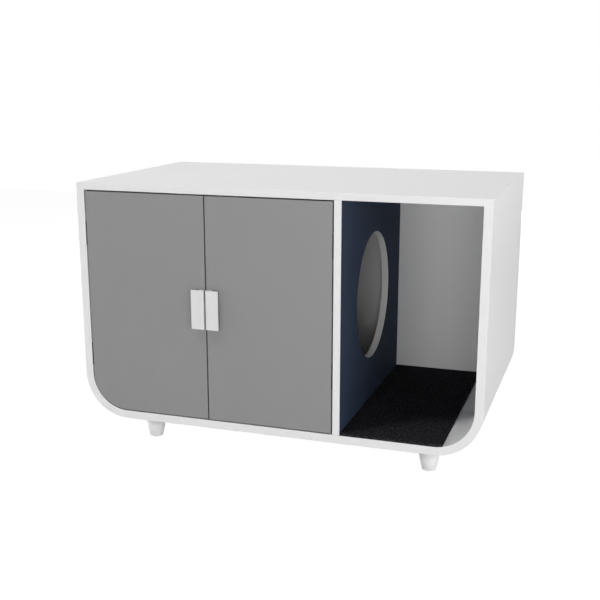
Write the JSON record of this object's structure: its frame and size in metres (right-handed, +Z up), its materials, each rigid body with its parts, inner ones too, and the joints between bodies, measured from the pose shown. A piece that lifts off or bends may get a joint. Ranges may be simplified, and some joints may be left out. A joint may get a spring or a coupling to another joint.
{
  "type": "cat litter box cabinet",
  "caption": "Low cabinet on tapered legs with rounded lower corners, a bay for a litter box behind inset doors, an open bay with a mat, and a round cat hole between them.",
  "frame": {"origin": "on the floor, in the middle of the outline in plan, pulls included", "axes": "+X to the right seen from the front, +Y to the back, +Z up; the doors face -Y"},
  "size_m": [0.9, 0.539, 0.602],
  "materials": {
    "white_lacquer": "satin white lacquer on board",
    "back_board": "matt white faced thin board",
    "blue_laminate": "matt dark blue laminate",
    "black_felt": "black needle felt",
    "grey_lacquer": "satin grey lacquer on board",
    "white_metal": "white powder coat",
    "leg_lacquer": "satin white lacquer on wood",
    "birch_ply": "bare plywood",
    "glide_nylon": "moulded nylon",
    "brass": "turned brass",
    "catch_plastic": "moulded white plastic",
    "magnet": "sintered magnet",
    "nickel_steel": "nickel plated steel",
    "screw_steel": "zinc plated steel",
    "dark_steel": "black plated steel"
  },
  "bodies": {
    "carcass": {"back_panel": "back_board", "back_panel_staples": "screw_steel", "bottom_left_tongue": "birch_ply", "bottom_panel": "white_lacquer", "bottom_right_tongue": "birch_ply", "catch_screws": "screw_steel", "divider_bottom_tongue": "birch_ply", "divider_lining": "blue_laminate", "divider_panel": "white_lacquer", "divider_top_tongue": "birch_ply", "floor_mat": "black_felt", "foot_glides": "glide_nylon", "front_left_leg": "leg_lacquer", "front_right_leg": "leg_lacquer", "hinge_side_screws": "dark_steel", "left_catch_housing": "catch_plastic", "left_catch_magnet": "magnet", "left_lower_hinge_pin": "dark_steel", "left_lower_hinge_side_leaf": "dark_steel", "left_side_panel": "white_lacquer", "left_upper_hinge_pin": "dark_steel", "left_upper_hinge_side_leaf": "dark_steel", "leg_bolts": "screw_steel", "leg_inserts": "brass", "rear_left_leg": "leg_lacquer", "rear_right_leg": "leg_lacquer", "right_catch_housing": "catch_plastic", "right_catch_magnet": "magnet", "right_lower_hinge_pin": "dark_steel", "right_lower_hinge_side_leaf": "dark_steel", "right_side_panel": "white_lacquer", "right_upper_hinge_pin": "dark_steel", "right_upper_hinge_side_leaf": "dark_steel", "top_left_tongue": "birch_ply", "top_panel": "white_lacquer", "top_right_tongue": "birch_ply"},
    "left_door_leaf": {"left_door": "grey_lacquer", "left_handle": "white_metal", "left_handle_screws": "screw_steel", "left_hinge_screws": "dark_steel", "left_strike_plate": "nickel_steel", "left_strike_screw": "screw_steel", "left_upper_hinge_door_leaf": "dark_steel", "left_lower_hinge_door_leaf": "dark_steel"},
    "right_door_leaf": {"right_door": "grey_lacquer", "right_handle": "white_metal", "right_handle_screws": "screw_steel", "right_hinge_screws": "dark_steel", "right_strike_plate": "nickel_steel", "right_strike_screw": "screw_steel", "right_upper_hinge_door_leaf": "dark_steel", "right_lower_hinge_door_leaf": "dark_steel"}
  },
  "joints": [
    {"name": "left_door_swing", "type": "hinge", "parent": "carcass", "child": "left_door_leaf", "pos_m": [-0.4305, -0.2593, 0.34], "axis": [0, 0, -1], "range_deg": [0, 95]},
    {"name": "right_door_swing", "type": "hinge", "parent": "carcass", "child": "right_door_leaf", "pos_m": [0.1335, -0.2593, 0.34], "axis": [0, 0, 1], "range_deg": [0, 95]}
  ]
}
